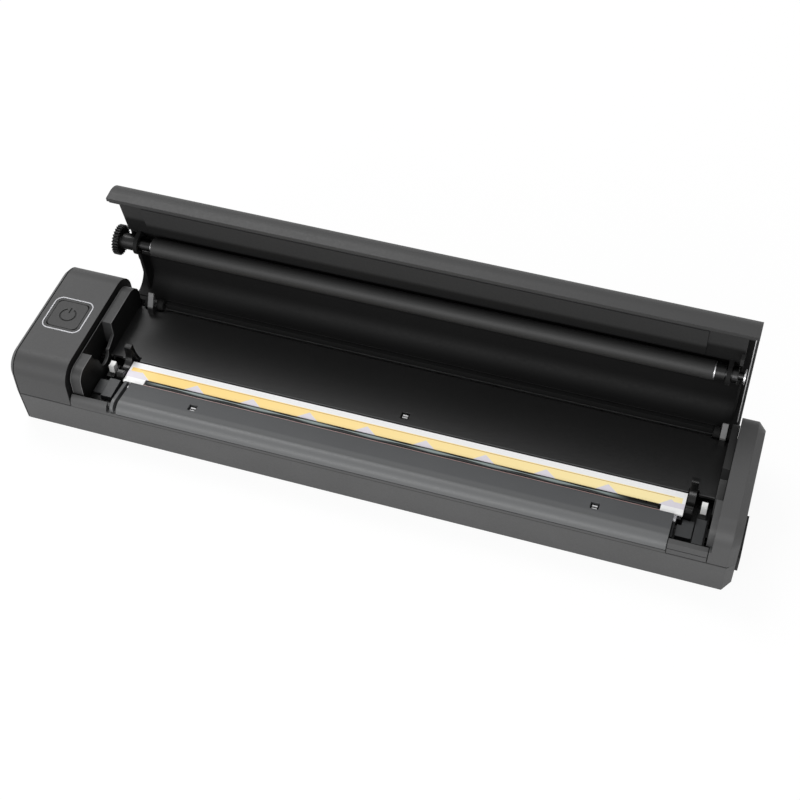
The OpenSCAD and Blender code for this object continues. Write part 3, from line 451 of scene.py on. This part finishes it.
def deck_finish():
    """Slate deck, with a painted highlight along its rounded front."""
    material = plastic("deck_grey", (0.069, 0.071, 0.074), 0.48, depth=0.3, specular=0.4)
    tree = material.node_tree
    _, y, _ = place(tree)
    # Painted highlight: the rounded front is painted lighter where the lamps catch it.
    paint(material, below(tree, y, DECK_HIGHLIGHT_REAR, soft=0.6), (0.092, 0.094, 0.096))
    return material


# Finishes inside the case

BED_HIGHLIGHT_REAR = 0.25
BED_HIGHLIGHT_LOW = high("paper_bed").z - 0.3


def bed_finish():
    """Satin black bed, with a painted highlight along its front edge."""
    material = plastic("bed_black", grey(0.0125), 0.4, grain=900.0, depth=0.12, specular=0.42)
    tree = material.node_tree
    _, y, z = place(tree)
    # Painted highlight: a lighter line along the bed's front edge.
    edge = times(tree, below(tree, y, BED_HIGHLIGHT_REAR, soft=0.08), above(tree, z, BED_HIGHLIGHT_LOW))
    paint(material, edge, grey(0.045))
    return material


LEFT_FRAME_RIM = low("side_frame_left").x + 0.35
LEFT_FRAME_LIP = high("side_frame_left").x - 0.3
MIDDLE = 0.0
RIM_HIGHLIGHT_FACTOR = 3
FACES_SIDE = 0.6


def side_frame_finish(base):
    """Side frames: dark grey on top, with painted highlights along the left one's rims, and
    black on the walls.
    """
    material = plastic("frame_grey", base, 0.5, depth=0.3, specular=0.3)
    tree = material.node_tree
    x, _, _ = place(tree)
    # Painted highlight: the left frame's rims are painted lighter.
    rim_highlights = either(
        tree,
        below(tree, x, LEFT_FRAME_RIM),
        between(tree, x, LEFT_FRAME_LIP, MIDDLE),
    )
    paint(material, rim_highlights, shade(base, RIM_HIGHLIGHT_FACTOR))
    sideways = calc(tree, "ABSOLUTE", facing(tree, "X"))
    paint(material, above(tree, sideways, FACES_SIDE, soft=0.1), BLACK)
    return material


STRUT_SHADE_TOP = 23.2


def strut_finish():
    """Hinge bracket: light strut, with painted shade over its foot."""
    material = plastic("strut_grey", grey(0.13), 0.5, depth=0.3)
    tree = material.node_tree
    _, _, z = place(tree)
    # Painted shade: the foot is painted black as the shadow under the strut.
    paint(material, below(tree, z, STRUT_SHADE_TOP, soft=0.2), BLACK)
    return material


FRONT_RIB_LOW = 19.55
REAR_RIB_LOW = 18.15


def sensor_finish():
    """Black sensor windows with bright ribs. Two lie in the deck and one in the bed."""
    material = plastic("sensor_black", BLACK, 0.25, grain=300.0, depth=0.1, specular=0.15)
    tree = material.node_tree
    _, y, z = place(tree)
    in_deck = times(tree, below(tree, y, MIDDLE), above(tree, z, FRONT_RIB_LOW, soft=0.1))
    in_bed = times(tree, above(tree, y, MIDDLE), above(tree, z, REAR_RIB_LOW, soft=0.1))
    paint(material, either(tree, in_deck, in_bed), grey(0.7))
    return material


# Finishes of the print head

CERAMIC = (0.9, 0.9, 0.9)
CERAMIC_DARK = (0.89, 0.89, 0.89)
CERAMIC_LIGHT = (0.93, 0.93, 0.925)
SPECK_SCALE = 2600.0
GLAZE = 0.15

TOOTH_PITCH = 23.17
TOOTH_GAPS = 9
FIRST_TOOTH = HEAD_LOW.x + 5.6
LAST_TOOTH = FIRST_TOOTH + TOOTH_GAPS * TOOTH_PITCH
TOOTH_TIP = -5.2
TOOTH_FOOT = -8.6
TOOTH_HALF = 4.3
LEFT_END_REAR = TOOTH_TIP - 0.3
RIGHT_END_REAR = TOOTH_TIP - 0.9
TOOTH_WHITE = (0.72, 0.69, 0.75)

GOLD_FRONT = -8.8
GOLD_REAR = -3.6
GOLD_START = HEAD_LOW.x + 0.9
GOLD_END = HEAD_HIGH.x - 1.2
GOLD_DEEP = (1.0, 0.7, 0.24)
GOLD_PALE = (1.0, 0.86, 0.47)

BROWN_FRONT = -4.16
BROWN_REAR = -3.94
BROWN_START = HEAD_LOW.x + 4.2
BROWN_END = HEAD_HIGH.x - 4.2
BROWN = (0.46, 0.27, 0.09)

STRIP_REAR = BEAD_HIGH.y + 0.12
STRIP_START = BEAD_LOW.x - 0.3
STRIP_END = BEAD_HIGH.x + 0.3
STRIP_BLACK = (0.004, 0.004, 0.005)
COPPER_REAR = HEAD_LOW.y + 0.2
COPPER = (0.5, 0.33, 0.31)


def ceramic_finish():
    """White glazed ceramic with its gold conductor, white teeth and thin lines."""
    material, shader = new_material("head_ceramic", CERAMIC, 0.22)
    tree = material.node_tree
    speck = noise(tree, object_coords(tree), SPECK_SCALE, rough=0.6)
    tint(tree, speck, CERAMIC_DARK, CERAMIC_LIGHT, shader)
    x, y, _ = place(tree)

    # White teeth that reach into the gold from the front
    past_first = calc(tree, "SUBTRACT", x, FIRST_TOOTH)
    from_tip = calc(tree, "PINGPONG", past_first, TOOTH_PITCH / 2)
    past_foot = calc(tree, "SUBTRACT", y, TOOTH_FOOT)
    rise = calc(tree, "DIVIDE", past_foot, TOOTH_TIP - TOOTH_FOOT)
    half = calc(tree, "MULTIPLY", calc(tree, "SUBTRACT", 1.0, rise), TOOTH_HALF)
    tooth = above(tree, calc(tree, "SUBTRACT", half, from_tip), 0.0, soft=0.12)
    left_end = times(tree, below(tree, x, FIRST_TOOTH), below(tree, y, LEFT_END_REAR))
    right_end = times(tree, above(tree, x, LAST_TOOTH), below(tree, y, RIGHT_END_REAR))
    bare = either(tree, tooth, left_end, right_end)

    # The gold, deeper at the left end and paler towards the right
    past_end = calc(tree, "SUBTRACT", x, HEAD_LOW.x)
    along = calc(tree, "DIVIDE", past_end, HEAD_HIGH.x - HEAD_LOW.x)
    field = times(
        tree,
        between(tree, y, GOLD_FRONT, GOLD_REAR),
        between(tree, x, GOLD_START, GOLD_END),
        flip(tree, bare),
    )
    paint(material, field, ramp(tree, along, GOLD_DEEP, GOLD_PALE, 0.0, 1.0))
    teeth = times(tree, between(tree, y, TOOTH_FOOT, GOLD_REAR), bare)
    paint(material, teeth, TOOTH_WHITE)

    # Thin brown line along the gold's rear
    line = times(
        tree,
        between(tree, y, BROWN_FRONT, BROWN_REAR),
        between(tree, x, BROWN_START, BROWN_END),
    )
    paint(material, line, BROWN)

    # Dark strip under and in front of the bead, with a thin copper-coloured line
    strip = times(
        tree,
        below(tree, y, STRIP_REAR),
        between(tree, x, STRIP_START, STRIP_END),
    )
    paint(material, strip, STRIP_BLACK)
    paint(material, times(tree, strip, below(tree, y, COPPER_REAR, soft=0.03)), COPPER)
    shader.inputs["Coat Weight"].default_value = GLAZE
    return material


STREAK_LEAD = 4.0
STREAK_SWELL = 0.2
STREAK_HALF = 0.34
STREAK_MIDDLE = BEAD_HIGH.y - 1.35
STREAK_START = BEAD_LOW.x + 4.0
STREAK_END = BEAD_HIGH.x - 16.0
STREAK_GREEN = (0.2, 0.24, 0.235)
BEAD_RIM = BEAD_LOW.y + 0.5


def bead_finish():
    """Dark glossy bead with a grey-green streak that swells beside each tooth."""
    material = plastic("bead_resin", BLACK, 0.3, grain=300.0, depth=0.1, specular=0.12)
    tree = material.node_tree
    x, y, _ = place(tree)
    past_swell = calc(tree, "SUBTRACT", x, FIRST_TOOTH + STREAK_LEAD)
    phase = calc(tree, "MULTIPLY", past_swell, math.tau)
    wave = calc(tree, "COSINE", calc(tree, "DIVIDE", phase, TOOTH_PITCH))
    half = calc(tree, "MULTIPLY_ADD", wave, STREAK_SWELL, STREAK_HALF)
    away = calc(tree, "ABSOLUTE", calc(tree, "SUBTRACT", y, STREAK_MIDDLE))
    streak = above(tree, calc(tree, "SUBTRACT", half, away), 0.0, soft=0.15)
    ends = between(tree, x, STREAK_START, STREAK_END, soft=6.0)
    paint(material, below(tree, y, BEAD_RIM, soft=0.06), grey(0.04))
    paint(material, times(tree, streak, ends), STREAK_GREEN)
    return material


# Finishes in the lid

SHAFT_SHOULDER = low("platen_collar").x
SHAFT_LEFT = low("platen_rubber").x - 0.6


def shaft_finish():
    """Shaft: blackened at both ends, with the bright shoulder beside the rubber."""
    material = metal("shaft_steel", STEEL, 0.3, along=(0.2, 1.0, 1.0))
    tree = material.node_tree
    x, _, _ = place(tree)
    paint(material, above(tree, x, SHAFT_SHOULDER), grey(0.03))
    paint(material, below(tree, x, SHAFT_LEFT), grey(0.02))
    return material


GUIDE_LOW = opened(-9.6, 25.1)[1]
GUIDE_REAR = opened(-24.6, 25.6)[0]
END_RIB = high("lid_liner").x - 0.8
RIB_FACES_FRONT = 0.35


def liner_finish():
    """Satin black liner: lighter guide strip at the lip, and a painted highlight on the right
    end rib's front-facing edge.
    """
    material = plastic("liner_black", grey(0.0075), 0.6, grain=900.0, depth=0.15, specular=0.1)
    tree = material.node_tree
    x, y, z = place(tree)
    guide = times(
        tree,
        above(tree, z, GUIDE_LOW, soft=0.3),
        below(tree, y, GUIDE_REAR, soft=0.3),
    )
    paint(material, guide, grey(0.026))
    to_viewer = above(tree, to_front(tree), RIB_FACES_FRONT)
    # Painted highlight: the front-facing faces of the right end rib are painted bright.
    rib_highlight = times(tree, above(tree, x, END_RIB), to_viewer)
    paint(material, rib_highlight, grey(0.6))
    return material


# What each CAD node wears


def dress(material, *names):
    """Puts a material on CAD nodes."""
    for name in names:
        nodes[name].data.materials.clear()
        nodes[name].data.materials.append(material)
    return material


dress(shell("shell_grey"), "left_end_plate", "right_cap", "front_block")
dress(tray_finish(), "lower_shell")
dress(pod_finish(), "pod_cover")
dress(lid_finish(), "lid_shell")
button_grey = dress(button_finish(), "power_button")
dress(liner_finish(), "lid_liner")
dress(bed_finish(), "paper_bed")
dress(deck_finish(), "front_deck")
dress(side_frame_finish(grey(0.032)), "side_frame_left")
dress(side_frame_finish(grey(0.013)), "side_frame_right")
dress(strut_finish(), "hinge_bracket_left", "hinge_bracket_right")
dress(
    plastic("chassis_black", BLACK, 0.3, grain=700.0, depth=0.15, specular=0.3),
    "print_frame",
    "bearing_bracket_left",
    "bearing_bracket_right",
)
dress(
    plastic("plate_grey", (0.024, 0.0255, 0.027), 0.46, depth=0.3, specular=0.4),
    "recess_plates",
)
dress(
    plastic("saddle_white", (0.8, 0.8, 0.79), 0.35, grain=600.0, depth=0.1, vary=0.02),
    "saddle_left",
    "saddle_right",
)
dress(
    plastic("bush_black", grey(0.006), 0.35, grain=600.0, depth=0.1, specular=0.25),
    "platen_bushes",
)
dress(ceramic_finish(), "head_ceramic")
dress(
    plastic("gear_dark", grey(0.008), 0.4, grain=600.0, depth=0.1, specular=0.3),
    "idler_gear",
    "reduction_gear",
)
dress(
    plastic("gear_black", grey(0.004), 0.35, grain=600.0, depth=0.15, specular=0.25),
    "platen_gear",
    "platen_collar",
)
dress(plastic("release_black", grey(0.006), 0.45, depth=0.3, specular=0.3), "release_button")
dress(plastic("switch_black", grey(0.015), 0.4, grain=600.0), "button_switch", "latch_slider")
dress(
    plastic("board_green", (0.015, 0.1, 0.04), 0.35, grain=400.0, depth=0.2),
    "switch_board",
    "main_board",
    "head_board",
)
dress(plastic("cell_wrap", (0.05, 0.15, 0.4), 0.3, grain=300.0, depth=0.1), "battery_pack")
dress(bead_finish(), "head_bead")
dress(sensor_finish(), "sensor_windows")
ring_silver = dress(metal("ring_silver", (0.27, 0.27, 0.28), 0.42), "button_ring")
dress(
    metal("plate_steel", STEEL, 0.35, along=(0.2, 1.0, 1.0)),
    "case_screws",
    "gear_pins",
    "head_springs",
    "latch_spring",
    "usb_port",
    "stepper_motor",
    "motor_plate",
)
dress(shaft_finish(), "platen_shaft")
dress(
    plastic("pin_black", BLACK, 0.5, grain=700.0, depth=0.1, specular=0.15),
    "hinge_pins",
)
dress(metal("clip_steel", (0.7, 0.7, 0.71), 0.3), "platen_clip")
dress(metal("pinion_brass", (0.75, 0.55, 0.25), 0.3), "motor_pinion")
dress(
    metal("carrier_aluminium", (0.6, 0.6, 0.62), 0.4, along=(0.05, 1.0, 1.0)),
    "head_carrier",
)
dress(rubber("pad_rubber", grey(0.02), 0.8), "base_pad")
dress(rubber("roller_rubber", grey(0.013), 0.55, along=(0.3, 1.0, 1.0)), "platen_rubber")

# Trim round the button: the silver line, and the frame inside it

TRIM_WIDTH = 16.5
TRIM_DEPTH = 17.15
TRIM_RADIUS = 3.3
LINE_WIDTH = 0.62
LINE_CHAMFER = 0.06
LINE_TOP = CASE_TOP + 0.12
LINE_FOOT = CASE_TOP - 0.1
FRAME_INSIDE = 1.75
FRAME_CHAMFER = 0.1
FRAME_TOP = CASE_TOP + 0.02
FRAME_FOOT = CASE_TOP - 0.8
CORNER_STEPS = 12


def add_object(name, data):
    """A new object in the scene."""
    item = bpy.data.objects.new(name, data)
    bpy.context.collection.objects.link(item)
    return item


def rounded_outline(inset, z):
    """Rounded rectangle round the button's middle, in millimetres."""
    radius = TRIM_RADIUS - inset
    reach_x = TRIM_WIDTH / 2 - TRIM_RADIUS
    reach_y = TRIM_DEPTH / 2 - TRIM_RADIUS
    points = []
    for quarter, (side_x, side_y) in enumerate(((1, 1), (-1, 1), (-1, -1), (1, -1))):
        for step in range(CORNER_STEPS + 1):
            angle = math.radians(90 * (quarter + step / CORNER_STEPS))
            x = BUTTON.x + side_x * reach_x + radius * math.cos(angle)
            y = BUTTON.y + side_y * reach_y + radius * math.sin(angle)
            points.append(Vector((x, y, z)))
    return points


def ring_piece(name, section, material):
    """Closed ring whose section runs through pairs of inset and height."""
    built = bmesh.new()
    loops = []
    for inset, z in section:
        loops.append([built.verts.new(point * MM) for point in rounded_outline(inset, z)])
    count = len(loops[0])
    for near, far in zip(loops, loops[1:] + loops[:1]):
        for i in range(count):
            j = (i + 1) % count
            built.faces.new((near[i], near[j], far[j], far[i]))
    bmesh.ops.recalc_face_normals(built, faces=built.faces)
    mesh = bpy.data.meshes.new(name)
    built.to_mesh(mesh)
    built.free()
    mesh.materials.append(material)
    piece = add_object(name, mesh)
    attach(piece, "base")
    return piece


silver_line = ring_piece(
    "button_silver_line",
    [
        (0.0, LINE_FOOT),
        (0.0, LINE_TOP - LINE_CHAMFER),
        (LINE_CHAMFER, LINE_TOP),
        (LINE_WIDTH - LINE_CHAMFER, LINE_TOP),
        (LINE_WIDTH, LINE_TOP - LINE_CHAMFER),
        (LINE_WIDTH, LINE_FOOT),
    ],
    ring_silver,
)
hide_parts("button_ring")
ring_piece(
    "button_frame",
    [
        (LINE_WIDTH, FRAME_FOOT),
        (LINE_WIDTH, FRAME_TOP),
        (FRAME_INSIDE - FRAME_CHAMFER, FRAME_TOP),
        (FRAME_INSIDE, BUTTON_SIDES),
        (FRAME_INSIDE, FRAME_FOOT),
    ],
    button_grey,
)

# Studio

SKY = 0.52
BACKDROP = 1.0
FLOOR_SHOWN = 0.93
FLOOR_HALF = 3.0
FLOOR_PAINT = (0.95, 0.95, 0.95)
LAMP_AIM = (0, 0, 0.02)
WHITE = (1.0, 1.0, 1.0, 1.0)


def seen_directly(tree):
    """1 for rays that should see the white backdrop: camera, glossy and transmission."""
    path = tree.nodes.new("ShaderNodeLightPath")
    return either(
        tree,
        path.outputs["Is Camera Ray"],
        path.outputs["Is Glossy Ray"],
        path.outputs["Is Transmission Ray"],
    )


def blend(tree, share, first, second, surface):
    """Mixes two shaders and shows the result."""
    mix = tree.nodes.new("ShaderNodeMixShader")
    tree.links.new(share, mix.inputs["Fac"])
    tree.links.new(first, mix.inputs[1])
    tree.links.new(second, mix.inputs[2])
    tree.links.new(mix.outputs["Shader"], surface)


def studio_floor():
    """Pale floor that shows as white and keeps a little of the printer's shadow."""
    mesh = bpy.data.meshes.new("floor")
    corners = ((-1, -1), (1, -1), (1, 1), (-1, 1))
    mesh.from_pydata([(x * FLOOR_HALF, y * FLOOR_HALF, 0) for x, y in corners], [], [range(4)])
    material, shader = new_material("floor_white", FLOOR_PAINT, 0.9, specular=0.2)
    mesh.materials.append(material)
    tree = material.node_tree
    glow = tree.nodes.new("ShaderNodeEmission")
    glow.inputs["Color"].default_value = WHITE
    glow.inputs["Strength"].default_value = BACKDROP
    share = calc(tree, "MULTIPLY", seen_directly(tree), FLOOR_SHOWN)
    surface = tree.nodes["Material Output"].inputs["Surface"]
    blend(tree, share, shader.outputs["BSDF"], glow.outputs["Emission"], surface)
    add_object("floor", mesh)


def studio_world():
    """Even light from all sides, in front of a white backdrop."""
    world = bpy.data.worlds.new("studio")
    bpy.context.scene.world = world
    world.use_nodes = True
    tree = world.node_tree
    sky = tree.nodes["Background"]
    sky.inputs["Color"].default_value = WHITE
    sky.inputs["Strength"].default_value = SKY
    white = tree.nodes.new("ShaderNodeBackground")
    white.inputs["Color"].default_value = WHITE
    white.inputs["Strength"].default_value = BACKDROP
    surface = tree.nodes["World Output"].inputs["Surface"]
    blend(
        tree,
        seen_directly(tree),
        sky.outputs["Background"],
        white.outputs["Background"],
        surface,
    )


def turn_to(position, aim):
    """The turn by which a lamp or camera at position faces aim."""
    return (Vector(aim) - Vector(position)).to_track_quat("-Z", "Y")


def softbox(name, position, size, power):
    """Rectangular lamp at a position in metres, facing the printer."""
    data = bpy.data.lights.new(name, "AREA")
    data.shape = "RECTANGLE"
    data.size, data.size_y = size
    data.energy = power
    lamp = add_object(name, data)
    lamp.location = position
    lamp.rotation_euler = turn_to(position, LAMP_AIM).to_euler()


studio_floor()
studio_world()
softbox("key", (-0.38, 0.35, 0.95), (0.45, 0.45), 6.4)
softbox("front", (-0.15, -1.1, 0.45), (0.8, 0.6), 9.5)

# Camera, fitted to the photograph. Its target is where its axis meets the bed.

CAMERA_AT = (129.0 * MM, -346.3 * MM, 461.05 * MM)
CAMERA_TARGET = (5.1 * MM, 10.12 * MM, 20.0 * MM)
CAMERA_ROLL = math.radians(-1.59)
CAMERA_LENS = 68.45
CAMERA_SENSOR = 36.0

camera_data = bpy.data.cameras.new("camera")
camera_data.lens = CAMERA_LENS
camera_data.sensor_width = CAMERA_SENSOR
camera = add_object("camera", camera_data)
camera.location = CAMERA_AT
level_turn = turn_to(CAMERA_AT, CAMERA_TARGET).to_matrix()
camera.rotation_euler = (level_turn @ Matrix.Rotation(CAMERA_ROLL, 3, "Z")).to_euler()
bpy.context.scene.camera = camera
bpy.context.scene.view_settings.view_transform = "Standard"
